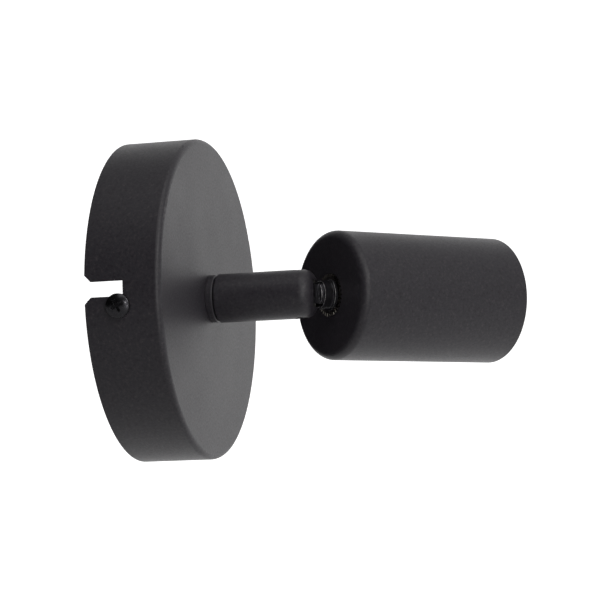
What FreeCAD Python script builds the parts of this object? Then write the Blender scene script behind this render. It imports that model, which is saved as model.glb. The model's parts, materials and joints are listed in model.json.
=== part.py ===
import FreeCAD, Part
import math
import os
import Sketcher
from FreeCAD import Placement, Rotation
from FreeCAD import Vector as V

# Wall spotlight: a round canopy on a wall bracket, a short arm that turns on its own
# axis, and a cylindrical lamp head that tilts on a knuckle at the arm's tip.
# Row frame, millimetres: the wall is the plane Y = 0, the light stands out along -Y,
# +Z is up, and the origin is the middle of the wall bracket's back face.
os.makedirs("parts", exist_ok=True)
doc = FreeCAD.newDocument("wall_spotlight")
sheet = doc.addObject("Spreadsheet::Sheet", "dim")

SIZES = [
    # canopy
    ("canopy_d", 100.4), ("canopy_depth", 23.4), ("canopy_wall", 1.0), ("canopy_edge_r", 1.8),
    ("canopy_hole_r", 5.2), ("slot_low", 2.75), ("slot_high", 7.25), ("slot_deep", 11.9),
    ("slot_leg", 4.0), ("slot_foot", 2.1), ("mouth_c", 2.0),
    # bracket and its fixings
    ("strap_t", 1.5), ("strap_w", 16.0), ("strap_half", 39.0), ("hub_r", 16.0), ("hub_hole_r", 10.0),
    ("wall_slot_r", 2.25), ("wall_slot_len", 12.0), ("wall_slot_pitch", 58.0),
    ("wing_low", 8.0), ("wing_high", 1.8), ("tab_out", 48.3), ("tab_h", 13.5),
    ("side_screw_z", 10.5), ("side_screw_r", 1.72), ("side_head_r", 3.6), ("side_head_h", 2.2),
    # swivel stack in the canopy
    ("nipple_r", 5.0), ("nipple_bore", 3.9), ("nipple_end", 13.0), ("ring_r", 7.45), ("ring_t", 2.3),
    ("stop_r", 12.0), ("stop_pin_r", 1.25), ("nut_af", 14.0), ("nut_t", 2.5),
    # arm
    ("arm_d", 15.3), ("arm_base", 26.05), ("arm_tip", 57.15), ("dome_r", 4.0), ("arm_bore", 3.6),
    ("pivot_y", 52.5), ("jaw_half", 4.2), ("cavity_r", 4.7), ("slot_back", 3.0), ("pin_r", 1.98),
    ("arm_roll", 6.5), ("tilt_rest", 46.9),
    # knuckle tongue
    ("neck_half", 3.1), ("neck_wide", 2.85), ("neck_r", 4.05), ("ridge_r", 4.35), ("block_start", 5.72), ("block_half", 4.05), ("block_r", 4.85),
    ("collar_r", 5.7), ("stud_r", 4.95), ("wire_bore", 2.4), ("washer_t", 0.6),
    # head
    ("head_gap", 9.95), ("head_d", 40.7), ("head_len", 62.5), ("head_wall", 1.0), ("head_back", 1.2), ("head_dish", 0.65), ("dish_r", 16.5), ("dish_flat", 7.4),
    ("head_edge_r", 2.7), ("holder_r", 17.6), ("socket_r", 13.3), ("socket_start", 37.4), ("socket_end", 56.5),
    # wires
    ("wire_r", 1.0),
]
for row, (alias, value) in enumerate(SIZES, start=1):
    sheet.set("A%d" % row, alias)
    sheet.set("B%d" % row, "%.4f" % value)
    sheet.setAlias("B%d" % row, alias)
doc.recompute()


class Q:
    """A size: its expression in the sheet's aliases, and its value now."""

    def __init__(self, e, v):
        self.e, self.v = e, float(v)

    @staticmethod
    def of(x):
        return x if isinstance(x, Q) else Q("%.6f" % float(x) if x >= 0 else "(%.6f)" % float(x), x)

    def __add__(self, o):
        o = Q.of(o)
        return Q("(%s + %s)" % (self.e, o.e), self.v + o.v)

    __radd__ = __add__

    def __sub__(self, o):
        o = Q.of(o)
        return Q("(%s - %s)" % (self.e, o.e), self.v - o.v)

    def __rsub__(self, o):
        return Q.of(o) - self

    def __mul__(self, o):
        o = Q.of(o)
        return Q("(%s * %s)" % (self.e, o.e), self.v * o.v)

    __rmul__ = __mul__

    def __truediv__(self, o):
        o = Q.of(o)
        return Q("(%s / %s)" % (self.e, o.e), self.v / o.v)

    def __neg__(self):
        return Q("(0 - %s)" % self.e, -self.v)


D = {alias: Q("dim." + alias, value) for alias, value in SIZES}
NODES = []


def bind(obj, prop, q):
    obj.setExpression(prop, Q.of(q).e)


def origin_plane(body, role):
    return [o for o in body.Origin.OriginFeatures if o.Role == role][0]


def outline(body, name, role, points, lift=None):
    """A closed, fully held polygon: every corner's place is bound to the sheet."""
    sk = body.newObject("Sketcher::SketchObject", name)
    sk.AttachmentSupport = [(origin_plane(body, role), "")]
    sk.MapMode = "FlatFace"
    if lift is not None:
        bind(sk, "AttachmentOffset.Base.z", lift)
    pts = [(Q.of(a), Q.of(b)) for a, b in points]
    n = len(pts)
    for i in range(n):
        a, b = pts[i], pts[(i + 1) % n]
        sk.addGeometry(Part.LineSegment(V(a[0].v, a[1].v, 0), V(b[0].v, b[1].v, 0)), False)
    for i in range(n):
        sk.addConstraint(Sketcher.Constraint("Coincident", i, 2, (i + 1) % n, 1))
    for i, (a, b) in enumerate(pts):
        for kind, q, axis in (("DistanceX", a, -2), ("DistanceY", b, -1)):
            if abs(q.v) < 1e-9:
                sk.addConstraint(Sketcher.Constraint("PointOnObject", i, 1, axis))
            else:
                k = sk.addConstraint(Sketcher.Constraint(kind, -1, 1, i, 1, q.v))
                sk.setExpression("Constraints[%d]" % k, q.e)
    return sk


def new_body(label):
    body = doc.addObject("PartDesign::Body", label)
    body.Label = label
    return body


def turned(label, points):
    """A body turned about its own Z axis from (radius, height) corners."""
    body = new_body(label)
    sk = outline(body, label + "_section", "XZ_Plane", points)
    rev = body.newObject("PartDesign::Revolution", label + "_turn")
    rev.Profile = sk
    rev.ReferenceAxis = (sk, ["V_Axis"])
    rev.Angle = 360.0
    doc.recompute()
    return body


def padded(label, points, low, high):
    """A plate or prism padded along Z."""
    body = new_body(label)
    sk = outline(body, label + "_outline", "XY_Plane", points, low)
    pad = body.newObject("PartDesign::Pad", label + "_pad")
    pad.Profile = sk
    bind(pad, "Length", Q.of(high) - low)
    doc.recompute()
    return body


def round_edges(body, radius, circles, name="Fillet"):
    """A fillet on the body's circular edges given as (radius, height)."""
    base = body.Tip
    names = []
    for i, e in enumerate(base.Shape.Edges, start=1):
        if isinstance(e.Curve, Part.Circle):
            for r, z in circles:
                if abs(e.Curve.Radius - Q.of(r).v) < 1e-3 and abs(e.Curve.Center.z - Q.of(z).v) < 1e-3:
                    names.append("Edge%d" % i)
    if not names:
        raise RuntimeError("no edge to round on " + body.Label)
    f = body.newObject("PartDesign::Fillet", name)
    f.Base = (base, names)
    bind(f, "Radius", radius)
    doc.recompute()
    return body


def cyl(name, r, low, high, at=(0, 0), axis="z"):
    """A cylinder along an axis from low to high, centred at the two other coordinates."""
    c = doc.addObject("Part::Cylinder", name)
    bind(c, "Radius", r)
    bind(c, "Height", Q.of(high) - low)
    u, w = at
    if axis == "z":
        place = (u, w, low)
    elif axis == "x":
        c.Placement = Placement(V(0, 0, 0), Rotation(V(0, 1, 0), 90))
        place = (low, u, w)
    else:
        c.Placement = Placement(V(0, 0, 0), Rotation(V(1, 0, 0), -90))
        place = (u, low, w)
    for k, q in zip("xyz", place):
        bind(c, "Placement.Base." + k, q)
    return c


def box(name, x0, x1, y0, y1, z0, z1):
    b = doc.addObject("Part::Box", name)
    bind(b, "Length", Q.of(x1) - x0)
    bind(b, "Width", Q.of(y1) - y0)
    bind(b, "Height", Q.of(z1) - z0)
    for k, q in zip("xyz", (x0, y0, z0)):
        bind(b, "Placement.Base." + k, q)
    return b


def hexagon(name, across, low, high, at=(0, 0)):
    p = doc.addObject("Part::Prism", name)
    p.Polygon = 6
    bind(p, "Circumradius", Q.of(across) / math.sqrt(3))
    bind(p, "Height", Q.of(high) - low)
    for k, q in zip("xyz", (at[0], at[1], low)):
        bind(p, "Placement.Base." + k, q)
    return p


def fuse(name, *parts):
    f = doc.addObject("Part::MultiFuse", name)
    f.Shapes = list(parts)
    f.Refine = True
    return f


def cut(name, base, *tools):
    c = doc.addObject("Part::Cut", name)
    c.Base = base
    c.Tool = tools[0] if len(tools) == 1 else fuse(name + "_tools", *tools)
    c.Refine = True
    return c


def common(name, a, b):
    c = doc.addObject("Part::Common", name)
    c.Base, c.Tool = a, b
    c.Refine = True
    return c


def group(name, *parts):
    c = doc.addObject("Part::Compound", name)
    c.Links = list(parts)
    return c


# Where each body's own frame stands. In a body's frame Z runs along its axis.
ROOT = Placement(V(0, 0, 0), Rotation(V(1, 0, 0), 90))
ARM = Placement(V(0, 0, 0), Rotation(V(0, 1, 0), D["arm_roll"].v)) * ROOT
HEAD = (
    ARM
    * Placement(V(0, 0, D["pivot_y"].v), Rotation(V(0, 0, 0), 0))
    * Placement(V(0, 0, 0), Rotation(V(0, 1, 0), D["tilt_rest"].v))
)
SHELL = HEAD * Placement(V(0, 0, D["head_gap"].v), Rotation())


def node(obj, label, frame):
    obj.Label = label
    NODES.append((label, obj, frame))
    return obj


def feature(label, shape, frame):
    f = doc.addObject("Part::Feature", label)
    f.Shape = shape
    return node(f, label, frame)


def wire_along(points, r):
    """A round wire: straight runs joined by tangent arcs."""
    pts = [V(*p) for p in points]
    cuts = []
    for i in range(1, len(pts) - 1):
        a, b = pts[i - 1] - pts[i], pts[i + 1] - pts[i]
        short = min(a.Length, b.Length)
        turn = math.pi - a.getAngle(b)
        reach = 0.45 * short
        radius = reach / math.tan(turn / 2)
        cuts.append((pts[i] + a.normalize() * reach, pts[i], pts[i + 1], reach, radius, turn))
    edges, here, length = [], pts[0], 0.0
    for i, (start, corner, after, reach, radius, turn) in enumerate(cuts):
        out = (V(after) - corner).normalize()
        end = corner + out * reach
        back = (start - corner).normalize()
        mid_dir = (back + out).normalize()
        centre = corner + mid_dir * (radius / math.cos(turn / 2))
        mid = centre - mid_dir * radius
        edges.append(Part.LineSegment(here, start).toShape())
        edges.append(Part.Arc(start, mid, end).toShape())
        length += (start - here).Length + radius * turn
        here = end
    edges.append(Part.LineSegment(here, pts[-1]).toShape())
    length += (pts[-1] - here).Length
    path = Part.Wire(edges)
    ring = Part.Wire([Part.Circle(pts[0], pts[1] - pts[0], r).toShape()])
    solid = path.makePipeShell([ring], True, False)
    want = math.pi * r * r * length
    if abs(solid.Volume - want) > 0.02 * want:
        raise RuntimeError("a wire's volume is off: %.2f against %.2f" % (solid.Volume, want))
    print("wire length %.1f, radii %s" % (length, ["%.1f" % c[4] for c in cuts]))
    return solid


def pan_screw(name, head_r, head_h, shank_r, length, arms=True, turn=0.0):
    """A pan-head screw along +Z: its head's underside at Z = 0, shank below it, cross or slot drive."""
    sag = head_r * head_r * 1.1
    ball_r = (head_r * head_r * 1.9 + head_h * head_h) / (2 * head_h)
    ball = doc.addObject("Part::Sphere", name + "_dome")
    bind(ball, "Radius", ball_r)
    bind(ball, "Placement.Base.z", head_h - ball_r)
    head = common(name + "_head", ball, cyl(name + "_rim", head_r, 0, head_h * 1.2))
    shank = cyl(name + "_shank", shank_r, -length, 0.2)
    w = head_r * 0.13
    reach = head_r * (0.55 if arms else 1.2)
    low = head_h * 0.45
    tools = [box(name + "_drive_a", -reach, reach, -w, w, low, head_h * 1.5)]
    if arms:
        tools.append(box(name + "_drive_b", -w, w, -reach, reach, low, head_h * 1.5))
    return cut(name, fuse(name + "_blank", head, shank), *tools)


def moved(obj, place):
    obj.Placement = place
    return obj


d = D
cd, wall = d["canopy_depth"], d["canopy_wall"]
R = d["canopy_d"] / 2

# ---------------------------------------------------------------- canopy side
# Canopy: a pressed steel cup, open at the wall, with two bayonet slots in its rim.
canopy = turned("canopy", [
    (d["canopy_hole_r"], cd - wall), (R - wall, cd - wall), (R - wall, 0), (R, 0), (R, cd), (d["canopy_hole_r"], cd),
])
round_edges(canopy, d["canopy_edge_r"], [(R, cd)], "front_edge")
round_edges(canopy, d["canopy_edge_r"] - 0.9, [(R - wall, cd - wall)], "inner_edge")
before = canopy.Shape.Volume
lo, hi, deep, leg, foot, mc = d["slot_low"], d["slot_high"], d["slot_deep"], d["slot_leg"], d["slot_foot"], d["mouth_c"]
sk = outline(canopy, "bayonet_slot", "YZ_Plane", [
    (lo - mc, -1), (hi + mc, -1), (hi + mc, 0), (hi, mc), (hi, deep), (1.2, deep), (1.2, deep + 0.5),
    (0.9 - foot, deep + 0.5), (-foot, deep - 0.4),
    (-foot, deep - leg + 0.9), (0.9 - foot, deep - leg), (lo, deep - leg), (lo, mc), (lo - mc, 0),
])
pocket = canopy.newObject("PartDesign::Pocket", "bayonet_cut")
pocket.Profile = sk
pocket.Length = 60.0
doc.recompute()
one = canopy.Shape.Volume
both = canopy.newObject("PartDesign::PolarPattern", "both_slots")
both.Originals = [pocket]
both.Axis = (sk, ["V_Axis"])
both.Angle = 360.0
both.Occurrences = 2
canopy.Tip = both
doc.recompute()
two = canopy.Shape.Volume
print("canopy volumes %.1f %.1f %.1f" % (before, one, two))
if not (before - one > 40 and abs((one - two) - (before - one)) < 1.0):
    raise RuntimeError("a bayonet slot cut nothing")
node(canopy, "canopy", ROOT)

# Wall bracket: one pressed strap with a hub, two wings whose ends turn up into tapped tabs, and an ear.
st, sw = d["strap_t"], d["strap_w"] / 2
wl, wh, to = d["wing_low"], d["wing_high"], d["tab_out"]
pitch = d["wall_slot_pitch"] / 2
sl = d["wall_slot_len"] / 2 - d["wall_slot_r"]
blank = [
    box("strap_up", -sw, sw, -d["strap_half"] + 4, d["strap_half"] - 4, 0, st),
    box("strap_top", -sw + 4, sw - 4, -d["strap_half"], d["strap_half"], 0, st),
    cyl("strap_ca", 4, 0, st, (sw - 4, d["strap_half"] - 4)), cyl("strap_cb", 4, 0, st, (-sw + 4, d["strap_half"] - 4)),
    cyl("strap_cc", 4, 0, st, (sw - 4, -d["strap_half"] + 4)), cyl("strap_cd", 4, 0, st, (-sw + 4, -d["strap_half"] + 4)),
    cyl("hub", d["hub_r"], 0, st),
    box("wing_left", -to, 0, -wl, wh, 0, st), box("wing_right", 0, to, -wh, wl, 0, st),
    box("tab_left", -to, -to + st, -wl, wh, 0, d["tab_h"]), box("tab_right", to - st, to, -wh, wl, 0, d["tab_h"]),
    cyl("lug_left", 3.0, -to, -to + st, (0, d["side_screw_z"]), "x"), cyl("lug_right", 3.0, to - st, to, (0, d["side_screw_z"]), "x"),
    box("ear", 0, 34.0, -30.0, -16.5, 0, st),
]
holes = [
    cyl("cable_hole", d["hub_hole_r"], -1, st + 1),
    cyl("tap_left", d["side_screw_r"] + 0.02, -to - 1, -to + st + 1, (0, d["side_screw_z"]), "x"),
    cyl("tap_right", d["side_screw_r"] + 0.02, to - st - 1, to + 1, (0, d["side_screw_z"]), "x"),
    cyl("earth_hole", 1.95, -1, st + 1, (0, 19.3)),
    cyl("block_hole", 1.42, -1, st + 1, (18.0, -23.5)),
]
for s, tag in ((1, "top"), (-1, "low")):
    r = d["wall_slot_r"]
    holes += [
        cyl("slot_%s_a" % tag, r, -1, st + 1, (0, s * pitch + sl)), cyl("slot_%s_b" % tag, r, -1, st + 1, (0, s * pitch - sl)),
        box("slot_%s_c" % tag, -r, r, s * pitch - sl, s * pitch + sl, -1, st + 1),
    ]
node(cut("wall_bracket", fuse("bracket_blank", *blank), *holes), "wall_bracket", ROOT)

# The two screws that hold the canopy on the bracket's tabs.
screws = []
for s, tag in ((-1, "left"), (1, "right")):
    sc = pan_screw("side_screw_" + tag, d["side_head_r"], d["side_head_h"], d["side_screw_r"], 7.0)
    spin = Rotation(V(0, 0, 1), 24)
    aim = Rotation(V(0, 1, 0), 90 * s)
    sc.Placement = Placement(V(s * R.v, 0, d["side_screw_z"].v), aim * spin)
    screws.append(sc)
node(group("canopy_screws", *screws), "canopy_screws", ROOT)

# Swivel stack. The ring and the inner washer stay with the canopy.
node(turned("base_ring", [
    (d["canopy_hole_r"], cd), (d["ring_r"], cd), (d["ring_r"], cd + d["ring_t"] - 0.3), (d["ring_r"] - 0.3, cd + d["ring_t"]),
    (d["canopy_hole_r"], cd + d["ring_t"]),
]), "base_ring", ROOT)
inner = cd - wall
node(cut("inner_washer", cyl("inner_washer_disc", 9.0, inner - 0.8, inner), cyl("inner_washer_hole", 5.25, inner - 2, inner + 1)), "inner_washer", ROOT)
node(group("stop_pin", cyl("stop_pin_bar", d["stop_pin_r"], inner - 5.0, inner, (0, -d["stop_r"]))), "stop_pin", ROOT)

# Terminal block on the bracket's ear: three poles.
bx, by, bz = 10.0, -31.0, st
poles = [14.0, 22.0, 30.0]
body_parts = [box("block_base", bx, 34.0, by, -16.0, bz, bz + 7.5)]
for i, x in enumerate(poles):
    body_parts.append(box("block_tower_%d" % i, x - 3.1, x + 3.1, by + 1.2, -17.2, bz + 7.0, bz + 12.0))
drill = [cyl("block_fix", 1.5, bz - 1, bz + 20, (18.0, -23.5))]
drill.append(cyl("block_fix_seat", 2.9, bz + 7.5, bz + 20, (18.0, -23.5)))
for i, x in enumerate(poles):
    drill.append(cyl("block_way_%d" % i, 2.3, by - 1, -15.0, (x, bz + 5.0), "y"))
    for k, y in enumerate((-27.3, -19.7)):
        drill.append(cyl("block_shaft_%d_%d" % (i, k), 1.75, bz + 5.0, bz + 14, (x, y)))
node(cut("terminal_block", fuse("block_blank", *body_parts), *drill), "terminal_block", ROOT)
sleeves = []
for i, x in enumerate(poles):
    tube = cyl("sleeve_%d" % i, 2.25, -30.2, -16.8, (x, bz + 5.0), "y")
    tools = [cyl("sleeve_bore_%d" % i, 1.6, -32, -15, (x, bz + 5.0), "y")]
    for k, y in enumerate((-27.3, -19.7)):
        tools.append(cyl("sleeve_tap_%d_%d" % (i, k), 1.32, bz + 5.0, bz + 9, (x, y)))
    sleeves.append(cut("sleeve_cut_%d" % i, tube, *tools))
node(group("terminal_sleeves", *sleeves), "terminal_sleeves", ROOT)
clamps = []
for i, x in enumerate(poles):
    for k, y in enumerate((-27.3, -19.7)):
        stem = cyl("clamp_stem_%d_%d" % (i, k), 1.3, bz + 6.3, bz + 8.2, (x, y))
        top = cyl("clamp_head_%d_%d" % (i, k), 1.65, bz + 8.0, bz + 10.4, (x, y))
        slit = box("clamp_slit_%d_%d" % (i, k), x - 0.25, x + 0.25, y - 2, y + 2, bz + 9.6, bz + 12)
        clamps.append(cut("clamp_%d_%d" % (i, k), fuse("clamp_blank_%d_%d" % (i, k), stem, top), slit))
node(group("terminal_screws", *clamps), "terminal_screws", ROOT)
fix = pan_screw("block_screw_raw", 2.7, 1.9, 1.4, 8.9)
fix.Placement = Placement(V(18.0, -23.5, st.v + 7.5), Rotation())
node(group("block_fixing_screw", fix), "block_fixing_screw", ROOT)

# Earth point on the strap: screw, cup washer and ring tag.
node(cut("earth_tag", fuse("tag_blank", cyl("tag_ring", 4.0, st, st + 0.8, (0, 19.3)), box("tag_neck", -1.6, 1.6, 12.3, 17.0, st, st + 0.8),
     cyl("tag_barrel", 1.7, 10.6, 13.6, (0, st + 1.7), "y")),
     cyl("tag_hole", 2.1, 0, 5, (0, 19.3)), cyl("tag_bore", 1.02, 9, 13.0, (0, st + 1.7), "y")), "earth_tag", ROOT)
node(cut("earth_washer", cyl("ew", 4.2, st + 0.8, st + 1.6, (0, 19.3)), cyl("ewh", 2.1, 0, 5, (0, 19.3))), "earth_washer", ROOT)
es = pan_screw("earth_screw_raw", 3.6, 2.4, 1.93, 3.1)
es.Placement = Placement(V(0, 19.3, st.v + 1.6), Rotation())
node(group("earth_screw", es), "earth_screw", ROOT)

# House-side ends of the wires, from the nipple's mouth to the terminals.
wr = d["wire_r"].v
feature("live_wire", wire_along([(1.5, -0.9, 12.9), (1.5, -0.9, 9.6), (4.2, -6.0, 7.0), (11.0, -10.5, 5.8), (14.0, -14.0, 6.5), (14.0, -22.5, 6.5)], wr), ROOT)
feature("neutral_wire", wire_along([(-1.5, -0.9, 12.9), (-1.5, -0.9, 8.8), (4.6, -3.0, 5.0), (15.5, -6.2, 4.6), (22.0, -12.0, 6.5), (22.0, -22.5, 6.5)], wr), ROOT)
feature("earth_wire", wire_along([(0.0, 1.7, 12.9), (0.0, 1.7, 9.0), (0.0, 5.0, 4.2), (0.0, 10.0, 3.2), (0.0, 12.9, 3.2)], wr), ROOT)

# ---------------------------------------------------------------- arm
half = d["arm_d"] / 2
base, tip, py = d["arm_base"], d["arm_tip"], d["pivot_y"]
arm = turned("arm_bar", [
    (d["nipple_r"] + 0.02, base), (half - 0.3, base), (half, base + 0.3), (half, tip), (0, tip), (0, py - 4), (d["arm_bore"], py - 4),
    (d["arm_bore"], base + 8.6), (d["nipple_r"] + 0.02, base + 8.6),
])
round_edges(arm, d["dome_r"], [(half, tip)], "dome")
cr, jh = d["cavity_r"], d["jaw_half"]
cavity = [
    box("jaw_front", -d["slot_back"], half + 1, -jh, jh, py, tip + 3), box("jaw_side", 0, half + 1, -jh, jh, py - 5.2, tip + 3),
    cyl("jaw_round", cr, -jh, jh, (0, py), "y"), cyl("pin_way", d["pin_r"] + 0.02, -half - 1, half + 1, (0, py), "y"),
]
node(cut("arm_tube", arm, *cavity), "arm_tube", ARM)
node(cut("swivel_washer", cyl("sw_disc", 6.7, base - 0.3, base), cyl("sw_hole", 5.1, base - 2, base + 1)), "swivel_washer", ARM)
node(cut("swivel_nipple", cyl("nip", d["nipple_r"], d["nipple_end"], base + 8.4), cyl("nip_bore", d["nipple_bore"], d["nipple_end"] - 1, base + 10)), "swivel_nipple", ARM)
# Stop washer: its lug meets the stop pin and ends the arm's turn.
z1 = inner - 0.85
stop = cut("stop_washer", fuse("stop_blank", cyl("stop_disc", 9.0, z1 - 1.0, z1), box("stop_lug", -1.25, 1.25, 0, d["stop_r"] + 1.4, z1 - 1.0, z1)),
           cyl("stop_hole", d["nipple_r"] + 0.02, z1 - 3, z1 + 1))
node(stop, "stop_washer", ARM)
z2 = z1 - 1.0
node(turned("spring_washer", [(5.1, z2 - 1.15), (8.7, z2 - 0.45), (8.7, z2), (5.1, z2 - 0.7)]), "spring_washer", ARM)
z3 = z2 - 1.15
nuts = []
for k in range(2):
    top = z3 - k * (d["nut_t"] + 0.05)
    nuts.append(cut("jam_nut_%d" % k, hexagon("jam_hex_%d" % k, d["nut_af"], top - d["nut_t"], top), cyl("jam_hole_%d" % k, d["nipple_r"] + 0.02, top - 5, top + 1)))
node(group("jam_nuts", *nuts), "jam_nuts", ARM)
# Pivot pin pressed flush through both jaws, with a spacer washer each side of the tongue.
node(group("pivot_pin", cyl("pivot_pin_bar", d["pin_r"], -7.2, 7.2, (0, py), "y")), "pivot_pin", ARM)
pair = []
for s, tag in ((1, "up"), (-1, "down")):
    a, b = (d["neck_half"] + 0.07, jh) if s > 0 else (-jh, -d["neck_half"] - 0.07)
    pair.append(cut("spacer_" + tag, cyl("spacer_disc_" + tag, 4.4, a, b, (0, py), "y"), cyl("spacer_hole_" + tag, d["pin_r"] + 0.05, a - 1, b + 1, (0, py), "y")))
node(group("pivot_washers", *pair), "pivot_washers", ARM)
strands = []
for k in range(3):
    ang = math.radians(90 + 120 * k)
    strands.append(cyl("strand_%d" % k, d["wire_r"], 13.3, py - 6.2, (1.75 * math.cos(ang), 1.75 * math.sin(ang))))
node(group("arm_wires", *strands), "arm_wires", ARM)

# ---------------------------------------------------------------- head: knuckle side (Z from the pivot)
g = d["head_gap"]
nh, bh = d["neck_half"], d["block_half"]
wt = d["washer_t"]
bs = d["block_start"]
big = 9.0
neck = common("neck_slab", fuse("neck_round", cyl("neck_end", 4.2, -8, 8, (0, 0), "y"), box("neck_bar", -d["neck_wide"], d["neck_wide"], -big, big, 0, bs),
              cyl("ridge_core", d["neck_r"], bs - 1.0, bs + 0.1), cyl("ridge_rim", d["ridge_r"], bs - 1.0, bs - 0.6)),
              box("neck_faces", -big, big, -nh, nh, -big, bs + 0.1))
seat = g + d["head_dish"]
block = common("block_slab", cyl("block_bar", d["block_r"], bs, seat - wt - 1.15), box("block_faces", -big, big, -bh, bh, bs, seat))
collar = common("collar_slab", cyl("collar_disc", d["collar_r"], seat - wt - 1.15, seat - wt), box("collar_faces", -big, big, -bh - 0.25, bh + 0.25, bs, seat))
stud = cyl("stud", d["stud_r"], seat - wt - 0.1, g + 9.0)
tongue = cut("swivel_tongue", fuse("tongue_blank", neck, block, collar, stud),
             cyl("tongue_eye", d["pin_r"] + 0.07, -9, 9, (0, 0), "y"), cyl("tongue_bore", d["wire_bore"], bs, g + 10.0),
             cyl("tongue_throat", 1.9, 3.0, bs + 1), box("tongue_window", 0, 8, -1.5, 1.5, 2.8, 4.1))
node(tongue, "swivel_tongue", HEAD)

# Toothed lock washer: a thin ring with 32 twisted teeth round its edge.
ring_shape = Part.makeCylinder(5.95, 0.35, V(0, 0, seat.v - 0.45)).cut(Part.makeCylinder(5.02, 2, V(0, 0, seat.v - 1)))
teeth = []
for k in range(32):
    tooth = Part.makeBox(1.1, 0.62, 0.3, V(5.65, -0.31, -0.15))
    tooth.rotate(V(0, 0, 0), V(1, 0, 0), 32)
    tooth.translate(V(0, 0, seat.v - 0.29))
    tooth.rotate(V(0, 0, 0), V(0, 0, 1), 11.25 * k + 3)
    teeth.append(tooth)
feature("toothed_washer", ring_shape.multiFuse(teeth).removeSplitter(), HEAD)

# ---------------------------------------------------------------- head: lamp side (Z from the cup's back face)
hr, hl, hw, hb = d["head_d"] / 2, d["head_len"], d["head_wall"], d["head_back"]
dish, dr, df = d["head_dish"], d["dish_r"], d["dish_flat"]
cup = turned("head_cup", [
    (5.1, dish), (df, dish), (dr, 0), (hr, 0), (hr, hl), (hr - hw, hl), (hr - hw, hb), (dr, hb), (df, hb + dish), (5.1, hb + dish),
])
round_edges(cup, d["head_edge_r"], [(hr, 0)], "back_edge")
round_edges(cup, d["head_edge_r"] - 1.0, [(hr - hw, hb)], "inner_back_edge")
round_edges(cup, 0.3, [(hr, hl)], "mouth_edge")
node(cup, "head_cup", SHELL)
node(cut("head_nut", hexagon("head_hex", d["nut_af"], hb + dish, hb + dish + 2.2), cyl("head_hex_hole", d["stud_r"] + 0.03, 0, 6)), "head_nut", SHELL)
o = d["holder_r"]
cap = turned("holder_cap_turned", [
    (d["stud_r"] + 0.03, 4.2), (8.5, 4.2), (8.5, 9.0), (o, 13.5), (o, 30.0), (o - 1.7, 30.0), (o - 1.7, 15.2), (7.6, 10.9), (d["stud_r"] + 0.03, 10.9),
])
node(cut("holder_cap", cap, cyl("grub_way", 1.42, 4.0, 9.5, (0, 6.8), "y")), "holder_cap", SHELL)
node(cut("grub_screw", cyl("grub", 1.4, 5.05, 8.3, (0, 6.8), "y"), box("grub_slit", -2, 2, 7.5, 9, 6.6, 7.0)), "grub_screw", SHELL)
node(turned("holder_skirt", [
    (14.8, 24.6), (o - 1.8, 24.6), (o - 1.8, 30.0), (o, 30.0), (o, 60.4), (15.6, 60.4), (14.1, 58.6), (14.1, 38.4), (14.8, 38.4),
]), "holder_skirt", SHELL)
core = turned("core_turned", [(2.6, 26.0), (14.7, 26.0), (14.7, 37.0), (9.6, 37.0), (9.6, 32.4), (2.6, 32.4)])
core_holes = []
for s, tag in ((-1, "a"), (1, "b")):
    core_holes.append(cyl("core_term_" + tag, 1.45, 25, 33, (7.2 * s, 0)))
    core_holes.append(cyl("core_rivet_" + tag, 0.82, 25 if s > 0 else 33, 38, (0, 11.4 * s)))
node(cut("holder_core", core, *core_holes), "holder_core", SHELL)
ss, se, sr = d["socket_start"], d["socket_end"], d["socket_r"]
shell = turned("shell_turned", [(9.8, 37.0), (sr + 0.4, 37.0), (sr + 0.4, se), (sr, se), (sr, ss + 0.8), (sr - 0.4, ss + 0.8), (sr - 0.4, ss), (9.8, ss)])
node(cut("screw_shell", shell, cyl("shell_rv_a", 0.82, 36, 38, (0, 11.4)), cyl("shell_rv_b", 0.82, 36, 38, (0, -11.4))), "screw_shell", SHELL)
rivets = []
for s, tag in ((-1, "a"), (1, "b")):
    rivets.append(fuse("rivet_" + tag, cyl("rivet_stem_" + tag, 0.8, 25.6 if s > 0 else 33.2, ss + 0.05, (0, 11.4 * s)), cyl("rivet_head_" + tag, 1.35, ss, ss + 0.5, (0, 11.4 * s))))
node(group("shell_rivets", *rivets), "shell_rivets", SHELL)
# Spring contact in the middle of the socket: plunger, coil spring and the seat plate behind it.
node(fuse("contact_plunger", cyl("plunger_stem", 1.2, 29.6, 34.6), cyl("plunger_head", 3.4, 34.6, 36.2), cyl("plunger_nose", 2.2, 36.2, 36.9)), "contact_plunger", SHELL)
coil = Part.makeHelix(0.85, 2.35, 1.95)
wire_ring = Part.Wire([Part.Circle(V(1.95, 0, 0), V(0, 1, 0), 0.22).toShape()])
spring_solid = Part.Wire(coil.Edges).makePipeShell([wire_ring], True, True)
spring_solid.translate(V(0, 0, 32.05))
feature("contact_spring", spring_solid, SHELL)
node(cut("spring_seat", fuse("seat_blank", cyl("seat_tube", 2.5, 25.6, 31.8), box("seat_strip", -8.8, 0, -1.6, 1.6, 25.6, 26.0)),
         cyl("seat_hole", 1.3, 25, 33), cyl("seat_screw_hole", 1.45, 25, 27, (-7.2, 0))), "spring_seat", SHELL)
node(cut("shell_link", fuse("link_blank", box("link_a", 5.6, 8.8, -1.7, 11.0, 25.6, 26.0), box("link_b", -1.6, 5.7, 9.8, 12.8, 25.6, 26.0)),
         cyl("link_screw_hole", 1.45, 25, 27, (7.2, 0)), cyl("link_rivet_hole", 0.82, 25, 27, (0, 11.4))), "shell_link", SHELL)
terms = []
for s, tag in ((-1, "a"), (1, "b")):
    t = pan_screw("contact_screw_" + tag, 2.6, 1.9, 1.4, 5.4, arms=False)
    t.Placement = Placement(V(7.2 * s, 0, 25.6), Rotation(V(1, 0, 0), 180))
    terms.append(t)
node(group("contact_screws", *terms), "contact_screws", SHELL)
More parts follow.
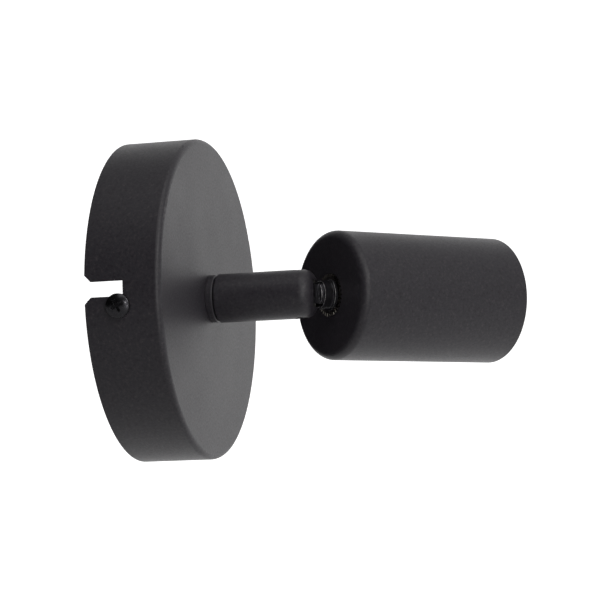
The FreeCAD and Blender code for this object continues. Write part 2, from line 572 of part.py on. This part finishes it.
feature("head_live_wire", wire_along([(-1.15, 0, 4.0), (-1.15, 0, 11.5), (-4.6, 0, 15.5), (-7.2, 0, 19.5), (-7.2, 0, 23.6)], wr), SHELL)
feature("head_neutral_wire", wire_along([(1.15, 0, 4.0), (1.15, 0, 11.5), (4.6, 0, 15.5), (7.2, 0, 19.5), (7.2, 0, 23.6)], wr), SHELL)

# ---------------------------------------------------------------- check and write
doc.recompute()
for obj in doc.Objects:
    if "Invalid" in obj.State or "Error" in obj.State:
        raise RuntimeError("%s is %s" % (obj.Label, obj.State))
for old in os.listdir("parts"):
    os.remove(os.path.join("parts", old))
for label, obj, frame in NODES:
    if any(path.startswith("Placement") for path, _ in obj.ExpressionEngine):
        raise RuntimeError("a placed node is bound by an expression: " + label)
    obj.Placement = frame * obj.Placement
doc.recompute()
for label, obj, frame in NODES:
    shape = obj.Shape
    if shape.isNull() or not shape.isValid() or not shape.Solids:
        raise RuntimeError("bad shape: " + label)
    if any(s.Volume <= 0 for s in shape.Solids):
        raise RuntimeError("no volume: " + label)
    out = shape.Solids[0] if len(shape.Solids) == 1 else Part.makeCompound(shape.Solids)
    out.exportStep(os.path.join("parts", label + ".step"))
    b = shape.BoundBox
    print("%-20s solids %d  volume %9.2f  box %.1f %.1f %.1f" % (label, len(shape.Solids), shape.Volume, b.XLength, b.YLength, b.ZLength))
print(len(NODES), "nodes")
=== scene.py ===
import json
import math

import bmesh
import bpy
from mathutils import Matrix, Vector

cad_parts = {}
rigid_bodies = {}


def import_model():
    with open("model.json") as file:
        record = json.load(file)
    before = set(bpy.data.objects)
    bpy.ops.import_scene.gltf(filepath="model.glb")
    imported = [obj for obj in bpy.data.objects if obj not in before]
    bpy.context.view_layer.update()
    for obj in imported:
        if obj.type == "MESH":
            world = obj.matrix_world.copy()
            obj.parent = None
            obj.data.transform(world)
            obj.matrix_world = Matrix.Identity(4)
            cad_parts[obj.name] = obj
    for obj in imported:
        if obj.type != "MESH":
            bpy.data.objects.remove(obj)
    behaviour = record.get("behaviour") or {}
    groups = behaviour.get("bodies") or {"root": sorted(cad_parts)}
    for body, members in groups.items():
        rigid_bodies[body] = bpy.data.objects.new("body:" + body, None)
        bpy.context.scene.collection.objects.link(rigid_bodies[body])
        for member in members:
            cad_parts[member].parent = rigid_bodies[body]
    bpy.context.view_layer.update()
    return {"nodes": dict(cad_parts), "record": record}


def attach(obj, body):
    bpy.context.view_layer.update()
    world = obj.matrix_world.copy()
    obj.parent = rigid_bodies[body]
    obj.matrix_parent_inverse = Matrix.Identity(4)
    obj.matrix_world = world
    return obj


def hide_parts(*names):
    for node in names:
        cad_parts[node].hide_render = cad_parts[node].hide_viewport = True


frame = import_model()
nodes = frame["nodes"]
MM = 0.001

# ------------------------------------------------------------------ the frame's own axes
ROLL, TILT = math.radians(6.5), math.radians(46.9)
ROOT = Matrix.Rotation(math.radians(90), 4, "X")
ARM = Matrix.Rotation(ROLL, 4, "Y") @ ROOT
HEAD = ARM @ Matrix.Translation((0, 0, 52.5 * MM)) @ Matrix.Rotation(TILT, 4, "Y")
SHELL = HEAD @ Matrix.Translation((0, 0, 9.95 * MM))


# ------------------------------------------------------------------ materials
class Surface:
    """A procedural material: a principled shader with noise-driven colour, roughness and relief."""

    def __init__(self, name, metallic=0.0, specular=0.5, coat=0.0, coat_rough=0.1, anis=0.0, sheen=0.0):
        self.m = bpy.data.materials.new(name)
        self.m.use_nodes = True
        self.t = self.m.node_tree
        self.t.nodes.clear()
        self.out = self.t.nodes.new("ShaderNodeOutputMaterial")
        self.p = self.t.nodes.new("ShaderNodeBsdfPrincipled")
        self.t.links.new(self.p.outputs["BSDF"], self.out.inputs["Surface"])
        self.p.inputs["Metallic"].default_value = metallic
        self.p.inputs["Specular IOR Level"].default_value = specular
        self.p.inputs["Coat Weight"].default_value = coat
        self.p.inputs["Coat Roughness"].default_value = coat_rough
        self.p.inputs["Anisotropic"].default_value = anis
        self.p.inputs["Sheen Weight"].default_value = sheen
        self.coords = self.t.nodes.new("ShaderNodeTexCoord")
        self.normal = None

    def node(self, kind, **values):
        n = self.t.nodes.new(kind)
        for k, v in values.items():
            if hasattr(n, k):
                setattr(n, k, v)
            else:
                n.inputs[k.replace("_", " ")].default_value = v
        return n

    def link(self, a, b):
        self.t.links.new(a, b)

    def mapped(self, scale=(1, 1, 1), rotation=(0, 0, 0)):
        m = self.node("ShaderNodeMapping")
        m.inputs["Scale"].default_value = scale
        m.inputs["Rotation"].default_value = rotation
        self.link(self.coords.outputs["Object"], m.inputs["Vector"])
        return m.outputs["Vector"]

    def noise(self, scale, detail=3.0, rough=0.55, vector=None, distortion=0.0):
        n = self.node("ShaderNodeTexNoise", Scale=scale, Detail=detail, Roughness=rough, Distortion=distortion)
        self.link(vector or self.coords.outputs["Object"], n.inputs["Vector"])
        return n.outputs["Fac"]

    def ramp(self, fac, stops):
        r = self.node("ShaderNodeValToRGB")
        e = r.color_ramp.elements
        while len(e) < len(stops):
            e.new(0.5)
        for item, (pos, col) in zip(e, stops):
            item.position = pos
            item.color = (col, col, col, 1) if isinstance(col, (int, float)) else (*col, 1)
        self.link(fac, r.inputs["Fac"])
        return r.outputs["Color"]

    def range(self, fac, low, high):
        r = self.node("ShaderNodeMapRange")
        r.inputs["From Min"].default_value = 0.25
        r.inputs["From Max"].default_value = 0.75
        r.inputs["To Min"].default_value = low
        r.inputs["To Max"].default_value = high
        self.link(fac, r.inputs["Value"])
        return r.outputs["Result"]

    def colour(self, fac, stops):
        self.link(self.ramp(fac, stops), self.p.inputs["Base Color"])

    def rough(self, fac, low, high):
        self.link(self.range(fac, low, high), self.p.inputs["Roughness"])

    def relief(self, fac, height, strength=1.0):
        b = self.node("ShaderNodeBump")
        b.inputs["Strength"].default_value = strength
        b.inputs["Distance"].default_value = height
        self.link(fac, b.inputs["Height"])
        if self.normal is not None:
            self.link(self.normal, b.inputs["Normal"])
        self.normal = b.outputs["Normal"]
        self.link(self.normal, self.p.inputs["Normal"])


def powder_coat():
    s = Surface("powder_coat", specular=0.42)
    grain = s.noise(2600, 2.0, 0.6)
    orange = s.noise(620, 3.0, 0.5)
    mottle = s.noise(1150, 3.0, 0.75)
    cloud = s.noise(38, 3.0, 0.55)
    s.colour(mottle, [
        (0.30, (0.0080, 0.0065, 0.0095)), (0.44, (0.0185, 0.0150, 0.0200)), (0.50, (0.0175, 0.0172, 0.0215)),
        (0.57, (0.0225, 0.0190, 0.0235)), (0.72, (0.0390, 0.0340, 0.0380)),
    ])
    speck = s.noise(1500, 2.0, 0.7)
    blend = s.node("ShaderNodeMath")
    blend.operation = "MULTIPLY_ADD"
    blend.inputs[1].default_value = 0.30
    s.link(speck, blend.inputs[0])
    s.link(s.range(cloud, 0.30, 0.36), blend.inputs[2])
    s.link(blend.outputs["Value"], s.p.inputs["Roughness"])
    s.relief(orange, 0.000016, 0.6)
    s.relief(grain, 0.000022, 0.9)
    return s.m


def gloss_black(name="black_nickel", low=0.09, high=0.17, painted_shade=1.0):
    """Black nickel plate: smooth, dark and mirror-like."""
    s = Surface(name, metallic=0.9, specular=0.6, coat=0.3 * painted_shade, coat_rough=0.04)
    # Below 1 this darkens the colour and thins the coat of a copy of the plate: painted shade.
    s.colour(s.noise(900, 3), [(0.3, (0.052 * painted_shade, 0.051 * painted_shade, 0.058 * painted_shade)), (0.7, (0.072 * painted_shade, 0.070 * painted_shade, 0.078 * painted_shade))])
    s.rough(s.noise(300, 3), low, high)
    s.relief(s.noise(1300, 2), 0.000003, 0.35)
    return s.m


def blackened(name):
    """Spring steel with an oiled black oxide skin, a little brighter in random patches."""
    s = Surface(name, metallic=1.0)
    s.colour(s.noise(900, 4, 0.6), [(0.3, (0.09, 0.084, 0.075)), (0.62, (0.16, 0.150, 0.132)), (0.85, (0.34, 0.31, 0.26))])
    s.rough(s.noise(700, 3), 0.10, 0.20)
    s.relief(s.noise(1600, 3), 0.000012, 0.6)
    return s.m


def plated(name, light, dark, low, high, brushed=True):
    s = Surface(name, metallic=1.0, anis=0.25 if brushed else 0.0)
    lines = s.noise(260, 5, 0.6, s.mapped((1, 1, 9))) if brushed else s.noise(240, 4)
    s.colour(s.noise(70, 5, 0.6), [(0.28, dark), (0.55, light), (0.8, tuple(min(1.0, c * 1.06) for c in light))])
    s.rough(lines, low, high)
    s.relief(lines, 0.000010, 0.5)
    s.relief(s.noise(1500, 2), 0.000008, 0.5)
    return s.m


def moulded(name, dark, light, low, high, grain=1400, depth=0.00001, specular=0.45, coat=0.0):
    s = Surface(name, specular=specular, coat=coat, coat_rough=0.15)
    s.colour(s.noise(120, 4), [(0.3, dark), (0.7, light)])
    s.rough(s.noise(300, 4), low, high)
    s.relief(s.noise(grain, 3), depth, 0.7)
    s.relief(s.noise(90, 2), 0.00003, 0.3)
    return s.m


def striped():
    s = Surface("green_yellow_skin", specular=0.45)
    wave = s.node("ShaderNodeTexWave", Scale=150.0, Distortion=0.6, Detail=1.0)
    wave.bands_direction = "X"
    s.link(s.mapped((1, 0.15, 0.15)), wave.inputs["Vector"])
    s.colour(wave.outputs["Fac"], [(0.49, (0.70, 0.60, 0.02)), (0.53, (0.03, 0.22, 0.03))])
    s.rough(s.noise(500, 3), 0.3, 0.42)
    s.relief(s.noise(1200, 2), 0.000008, 0.6)
    return s.m


def three_cores():
    s = Surface("three_cores_skin", specular=0.45)
    s.colour(s.noise(60, 2, 0.5, s.mapped((2.2, 0.02, 2.2))), [(0.38, (0.09, 0.035, 0.012)), (0.5, (0.02, 0.06, 0.22)), (0.62, (0.10, 0.25, 0.03))])
    s.rough(s.noise(500, 3), 0.3, 0.42)
    s.relief(s.noise(1200, 2), 0.000008, 0.6)
    return s.m


MATS = {
    "coat": powder_coat(),
    "gloss_black": gloss_black(),
    "zinc": plated("zinc_plate", (0.60, 0.61, 0.62), (0.44, 0.45, 0.47), 0.24, 0.42),
    "brass": plated("turned_brass", (0.78, 0.57, 0.24), (0.62, 0.43, 0.17), 0.2, 0.36, False),
    "nickel": plated("nickel_plate", (0.74, 0.70, 0.62), (0.58, 0.53, 0.45), 0.16, 0.3, False),
    "dark_steel": blackened("black_oxide_steel"),
    "block_plastic": moulded("natural_nylon", (0.62, 0.60, 0.53), (0.72, 0.70, 0.63), 0.38, 0.52),
    "holder_plastic": moulded("black_moulding", (0.013, 0.013, 0.014), (0.021, 0.020, 0.021), 0.34, 0.5),
    "ceramic": moulded("steatite", (0.70, 0.68, 0.61), (0.80, 0.78, 0.72), 0.3, 0.55, 700, 0.00002, 0.5, 0.2),
    "fibre": moulded("black_nylon", (0.016, 0.015, 0.015), (0.026, 0.025, 0.024), 0.4, 0.55),
    "brown_wire": moulded("brown_skin", (0.085, 0.030, 0.010), (0.115, 0.042, 0.015), 0.26, 0.4),
    "blue_wire": moulded("blue_skin", (0.014, 0.060, 0.27), (0.020, 0.080, 0.34), 0.26, 0.4),
    "green_wire": striped(),
    "arm_wire_skin": three_cores(),
}
SLOT = {p["node"]: p["material_slot"] for p in frame["record"]["subparts"]}
for name, obj in nodes.items():
    obj.data.materials.clear()
    obj.data.materials.append(MATS[SLOT[name]])


# ------------------------------------------------------------------ detail pieces
def give(obj, body, slot, *replaced):
    if not obj.data.materials:
        obj.data.materials.append(MATS[slot])
    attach(obj, body)
    if replaced:
        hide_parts(*replaced)
    return obj


def smooth_by_angle(mesh, degrees=32):
    bm = bmesh.new()
    bm.from_mesh(mesh)
    for f in bm.faces:
        f.smooth = True
    for e in bm.edges:
        e.smooth = not (len(e.link_faces) == 2 and e.calc_face_angle(0) > math.radians(degrees))
    bm.to_mesh(mesh)
    bm.free()


def even_normals(obj):
    """Lets large flat faces set the shading, so small rounded edges stay small."""
    if obj.data.attributes.get("custom_normal"):
        obj.data.attributes.remove(obj.data.attributes["custom_normal"])
    w = obj.modifiers.new("even", "WEIGHTED_NORMAL")
    w.mode = "FACE_AREA"
    w.weight = 90
    w.keep_sharp = True
    dep = bpy.context.evaluated_depsgraph_get()
    done = bpy.data.meshes.new_from_object(obj.evaluated_get(dep))
    obj.modifiers.clear()
    obj.data = done


def softened(node, body, width, segments=3, angle=28, clamp=True):
    """A copy of a hard-edged node whose sharp edges are broken with a small radius."""
    src = nodes[node]
    mesh = src.data.copy()
    mesh.name = node + "_look"
    bm = bmesh.new()
    bm.from_mesh(mesh)
    bmesh.ops.remove_doubles(bm, verts=bm.verts, dist=1e-6)
    bmesh.ops.dissolve_limit(bm, angle_limit=math.radians(0.6), verts=bm.verts, edges=bm.edges, use_dissolve_boundaries=False)
    bm.to_mesh(mesh)
    bm.free()
    obj = bpy.data.objects.new(node + "_look", mesh)
    bpy.context.scene.collection.objects.link(obj)
    bev = obj.modifiers.new("edge", "BEVEL")
    bev.width = width * MM
    bev.segments = segments
    bev.limit_method = "ANGLE"
    bev.angle_limit = math.radians(angle)
    bev.use_clamp_overlap = clamp
    bev.harden_normals = False
    dep = bpy.context.evaluated_depsgraph_get()
    done = bpy.data.meshes.new_from_object(obj.evaluated_get(dep))
    obj.modifiers.clear()
    obj.data = done
    smooth_by_angle(obj.data, 38)
    even_normals(obj)
    obj.data.materials.clear()
    obj.data.materials.append(MATS[SLOT[node]])
    return give(obj, body, SLOT[node], node)


def lathe(name, points, steps=128, place=None, closed=True, twist=None):
    """A turned piece about Z from (radius, height) corners in millimetres."""
    bm = bmesh.new()
    rings = []
    for k in range(steps):
        a = 2 * math.pi * k / steps
        rings.append([bm.verts.new((r * MM * math.cos(a), r * MM * math.sin(a), z * MM)) for r, z in points])
    n = len(points)
    for k in range(steps):
        a, b = rings[k], rings[(k + 1) % steps]
        for i in range(n if closed else n - 1):
            j = (i + 1) % n
            bm.faces.new((a[i], a[j], b[j], b[i]))
    bmesh.ops.remove_doubles(bm, verts=bm.verts, dist=1e-8)
    bmesh.ops.recalc_face_normals(bm, faces=bm.faces)
    mesh = bpy.data.meshes.new(name)
    bm.to_mesh(mesh)
    bm.free()
    if place is not None:
        mesh.transform(place)
    smooth_by_angle(mesh, 35)
    obj = bpy.data.objects.new(name, mesh)
    bpy.context.scene.collection.objects.link(obj)
    return obj


def threaded_tube(name, inner, outer, low, high, pitch, depth, place, steps=96, rows=12):
    """A thin tube rolled into a round thread, inside and out, fading at its ends."""
    bm = bmesh.new()
    count = int((high - low) / pitch * rows)
    sides = []
    for base in (inner, outer):
        grid = []
        for i in range(count + 1):
            z = low + (high - low) * i / count
            fade = min(1.0, (z - low) / 1.2, (high - z) / 1.2)
            fade = max(0.0, fade)
            ring = []
            for k in range(steps):
                a = 2 * math.pi * k / steps
                phase = 2 * math.pi * (z / pitch) - a
                r = base - depth * fade * (0.5 - 0.5 * math.cos(phase))
                ring.append(bm.verts.new((r * MM * math.cos(a), r * MM * math.sin(a), z * MM)))
            grid.append(ring)
        sides.append(grid)
    for s, grid in enumerate(sides):
        for i in range(count):
            for k in range(steps):
                j = (k + 1) % steps
                q = (grid[i][k], grid[i][j], grid[i + 1][j], grid[i + 1][k])
                bm.faces.new(q if s else q[::-1])
    for i in (0, count):
        for k in range(steps):
            j = (k + 1) % steps
            bm.faces.new((sides[0][i][k], sides[0][i][j], sides[1][i][j], sides[1][i][k]))
    bmesh.ops.recalc_face_normals(bm, faces=bm.faces)
    mesh = bpy.data.meshes.new(name)
    bm.to_mesh(mesh)
    bm.free()
    mesh.transform(place)
    smooth_by_angle(mesh, 50)
    obj = bpy.data.objects.new(name, mesh)
    bpy.context.scene.collection.objects.link(obj)
    return obj


for name, body, width in (
    ("canopy", "base", 0.22), ("wall_bracket", "base", 0.2), ("canopy_screws", "base", 0.16), ("base_ring", "base", 0.15),
    ("terminal_block", "base", 0.35), ("inner_washer", "base", 0.12), ("jam_nuts", "arm", 0.25), ("arm_tube", "arm", 0.3),
    ("head_cup", "head", 0.15), ("head_nut", "head", 0.25), ("holder_cap", "head", 0.3),
    ("holder_skirt", "head", 0.35), ("holder_core", "head", 0.3), ("contact_plunger", "head", 0.3),
):
    softened(name, body, width)
softened("swivel_tongue", "head", 0.15, 4, 28, False)
# The screws get a rougher copy of the black nickel, darkened to 0.55: painted shade.
for obj in bpy.data.objects:
    if obj.name == "canopy_screws_look":
        obj.data.materials.clear()
        obj.data.materials.append(gloss_black("black_nickel_screw", 0.22, 0.34, 0.55))

def edge_bead(name, runs, radius, place, steps=28, sides=8):
    """Thin round beads along arcs about Z: (arc radius, height, half width across) in millimetres."""
    bm = bmesh.new()
    for arc_r, z, half in runs:
        for flip in (0.0, math.pi):
            span = math.asin(min(0.98, half / arc_r))
            rings = []
            for i in range(steps + 1):
                a = flip - span + 2 * span * i / steps
                thin = radius * min(1.0, 0.25 + 4.0 * min(i, steps - i) / steps)
                ring = []
                for k in range(sides):
                    b = 2 * math.pi * k / sides
                    r = arc_r + thin * math.cos(b)
                    ring.append(bm.verts.new((r * MM * math.cos(a), r * MM * math.sin(a), (z + thin * math.sin(b)) * MM)))
                rings.append(ring)
            for i in range(steps):
                for k in range(sides):
                    j = (k + 1) % sides
                    bm.faces.new((rings[i][k], rings[i][j], rings[i + 1][j], rings[i + 1][k]))
            bm.faces.new(rings[0][::-1])
            bm.faces.new(rings[-1])
    bmesh.ops.recalc_face_normals(bm, faces=bm.faces)
    mesh = bpy.data.meshes.new(name)
    bm.to_mesh(mesh)
    bm.free()
    mesh.transform(place)
    smooth_by_angle(mesh, 60)
    obj = bpy.data.objects.new(name, mesh)
    bpy.context.scene.collection.objects.link(obj)
    return obj


def joined(name, *parts):
    """One object from several loose ones."""
    bm = bmesh.new()
    for part in parts:
        bm.from_mesh(part.data)
    mesh = bpy.data.meshes.new(name)
    bm.to_mesh(mesh)
    bm.free()
    for part in parts:
        bpy.data.objects.remove(part)
    smooth_by_angle(mesh, 45)
    obj = bpy.data.objects.new(name, mesh)
    bpy.context.scene.collection.objects.link(obj)
    return obj


# The screw shell as it is rolled: a round thread in the wall, a curled lip and a floor with a step.
shell_wall = threaded_tube("rolled_wall", 13.3, 13.64, 38.2, 56.35, 3.629, 0.8, SHELL)
shell_floor = lathe("rolled_floor", [
    (9.85, 37.02), (13.45, 37.02), (13.62, 37.12), (13.68, 37.3), (13.68, 38.26), (13.3, 38.26), (12.92, 38.1), (12.9, 37.5), (12.8, 37.4), (9.9, 37.4), (9.82, 37.3), (9.82, 37.1),
], 160, SHELL)
shell_lip = lathe("rolled_lip", [(13.32, 56.3), (13.3, 56.44), (13.4, 56.5), (13.58, 56.5), (13.68, 56.42), (13.68, 56.3)], 160, SHELL)
give(joined("socket_thread", shell_wall, shell_floor, shell_lip), "head", "nickel", "screw_shell")

def painted_highlight_edge():
    """The same plate, made lighter: a painted highlight for the knuckle's edge lines."""
    s = Surface("black_nickel_painted_highlight", metallic=1.0)
    s.colour(s.noise(1100, 3, 0.6), [(0.35, (0.20, 0.195, 0.20)), (0.65, (0.42, 0.41, 0.42))])
    s.rough(s.noise(500, 3), 0.22, 0.36)
    s.relief(s.noise(1500, 2), 0.000004, 0.4)
    return s.m


# Thin beads of lighter plate along the knuckle's rims: painted highlight lines.
beads = edge_bead("knuckle_edges", [(4.33, 4.80, 2.75), (4.80, 5.79, 3.75), (5.62, 8.95, 3.9)], 0.11, HEAD)
beads.data.materials.append(painted_highlight_edge())
give(beads, "head", "gloss_black")

# ------------------------------------------------------------------ floor, light, camera
NEAR, FAR, OVER, SOFT, TENT, EVEN = 0.03, 1.02, 1.30, 5.8, 0.54, 0.0


def stage_white(name):
    """Pale paper that glows by its own emission, painted dim on the near side and bright beyond the object:
    painted light and falloff.
    """
    m = bpy.data.materials.new(name)
    m.use_nodes = True
    t = m.node_tree
    p = t.nodes["Principled BSDF"]
    p.inputs["Base Color"].default_value = (0.55, 0.55, 0.55, 1)
    p.inputs["Roughness"].default_value = 1.0
    p.inputs["Specular IOR Level"].default_value = 0.0
    co = t.nodes.new("ShaderNodeTexCoord")
    sep = t.nodes.new("ShaderNodeSeparateXYZ")
    rng = t.nodes.new("ShaderNodeMapRange")
    rng.inputs["From Min"].default_value = -0.15
    rng.inputs["From Max"].default_value = 0.25
    rng.inputs["To Min"].default_value = NEAR
    rng.inputs["To Max"].default_value = FAR
    rng.interpolation_type = "SMOOTHSTEP"
    t.links.new(co.outputs["Object"], sep.inputs["Vector"])
    t.links.new(sep.outputs["X"], rng.inputs["Value"])
    # The glow ramps with X: painted light, falling off towards the near side.
    t.links.new(rng.outputs["Result"], p.inputs["Emission Color"])
    p.inputs["Emission Strength"].default_value = 1.0
    return m


def sweep(name, z, near, far, width, height, radius):
    """A seamless floor that curves up into a backdrop on the +X side."""
    bm = bmesh.new()
    path = [(near, z)]
    for i in range(25):
        a = math.pi / 2 * i / 24
        path.append((far - radius + radius * math.sin(a), z + radius - radius * math.cos(a)))
    path.append((far, height))
    rows = [[bm.verts.new((x, y, h)) for x, h in path] for y in (-width, width)]
    for i in range(len(path) - 1):
        bm.faces.new((rows[0][i], rows[0][i + 1], rows[1][i + 1], rows[1][i]))
    for f in bm.faces:
        f.smooth = True
    mesh = bpy.data.meshes.new(name)
    bm.to_mesh(mesh)
    bm.free()
    obj = bpy.data.objects.new(name, mesh)
    bpy.context.scene.collection.objects.link(obj)
    obj.data.materials.append(stage_white(name + "_white"))
    return obj


floor = sweep("floor", -0.13, -3.0, 2.6, 3.0, 2.2, 0.9)


def area(name, at, to, size, radiance, colour=(1, 1, 1), size_y=None):
    light = bpy.data.lights.new(name, "AREA")
    light.shape = "RECTANGLE"
    light.size = size
    light.size_y = size_y or size
    light.energy = radiance * math.pi * size * light.size_y
    light.color = colour
    obj = bpy.data.objects.new(name, light)
    bpy.context.scene.collection.objects.link(obj)
    obj.location = at
    obj.rotation_euler = (Vector(to) - Vector(at)).to_track_quat("-Z", "Y").to_euler()
    obj.visible_camera = False
    return obj


area("overhead", (-0.45, -0.20, 1.0), (0.0, -0.05, 0), 0.9, OVER, (1.0, 0.995, 0.99), 0.9)
area("softbox", (-0.55, -0.72, 0.51), (0.0, -0.05, 0), 0.34, SOFT, (1.0, 0.99, 0.98), 0.34)

area("glint_high", (-0.86, -0.46, 0.22), (0.0, -0.055, 0), 0.08, 48.0, (1.0, 0.99, 0.98), 0.08)
area("glint_low", (-0.80, -0.62, -0.07), (0.0, -0.055, 0), 0.08, 48.0, (1.0, 0.99, 0.98), 0.08)

world = bpy.data.worlds.new("studio")
bpy.context.scene.world = world
world.use_nodes = True
wt = world.node_tree
wt.nodes.clear()
wout = wt.nodes.new("ShaderNodeOutputWorld")
mix = wt.nodes.new("ShaderNodeMixShader")
dim = wt.nodes.new("ShaderNodeBackground")
seen = wt.nodes.new("ShaderNodeBackground")
seen.inputs["Color"].default_value = (1, 1, 1, 1)
seen.inputs["Strength"].default_value = 1.05
path = wt.nodes.new("ShaderNodeLightPath")
way = wt.nodes.new("ShaderNodeTexCoord")
dot = wt.nodes.new("ShaderNodeVectorMath")
dot.operation = "DOT_PRODUCT"
dot.inputs[1].default_value = Vector((0.72, -0.62, 0.30)).normalized()
tent = wt.nodes.new("ShaderNodeValToRGB")
for pos in (0.36, 0.58, 0.74):
    tent.color_ramp.elements.new(pos)
for item, val in zip(tent.color_ramp.elements, (0.0, 0.02, 0.44, 0.95, 1.0)):
    val = val * TENT + EVEN
    item.color = (val, val, val, 1)
half = wt.nodes.new("ShaderNodeMapRange")
half.inputs["From Min"].default_value = -1.0
half.inputs["From Max"].default_value = 1.0
wt.links.new(way.outputs["Generated"], dot.inputs[0])
wt.links.new(dot.outputs["Value"], half.inputs["Value"])
wt.links.new(half.outputs["Result"], tent.inputs["Fac"])
wt.links.new(tent.outputs["Color"], dim.inputs["Color"])
wt.links.new(path.outputs["Is Camera Ray"], mix.inputs["Fac"])
wt.links.new(dim.outputs["Background"], mix.inputs[1])
wt.links.new(seen.outputs["Background"], mix.inputs[2])
wt.links.new(mix.outputs["Shader"], wout.inputs["Surface"])
bpy.context.scene.view_settings.view_transform = "Standard"
bpy.context.scene.view_settings.look = "None"
bpy.context.scene.view_settings.exposure = 0.0

# The camera stands where the photograph's did: its place and turn come from the outlines.
az, el, roll = math.radians(-74.969), math.radians(-5.664), math.radians(-1.578)
back = Vector((math.sin(az) * math.cos(el), -math.cos(az) * math.cos(el), math.sin(el)))
right0 = (-back).cross(Vector((0, 0, 1))).normalized()
up0 = right0.cross(-back)
where = (Vector((0, -50, 0)) + 1.905 * right0 - 1.763 * up0 + back * 647.541) * MM
right = math.cos(roll) * right0 + math.sin(roll) * up0
up = -math.sin(roll) * right0 + math.cos(roll) * up0
turn = Matrix((right, up, back)).transposed().to_4x4()
cam = bpy.data.cameras.new("camera")
cam.sensor_width = 36.0
cam.lens = 2087.305 / 600 * 36.0
cam.clip_start = 0.01
cam_obj = bpy.data.objects.new("camera", cam)
bpy.context.scene.collection.objects.link(cam_obj)
cam_obj.matrix_world = Matrix.Rotation(ROLL, 4, "Y") @ Matrix.Translation(where) @ turn
bpy.context.scene.camera = cam_obj
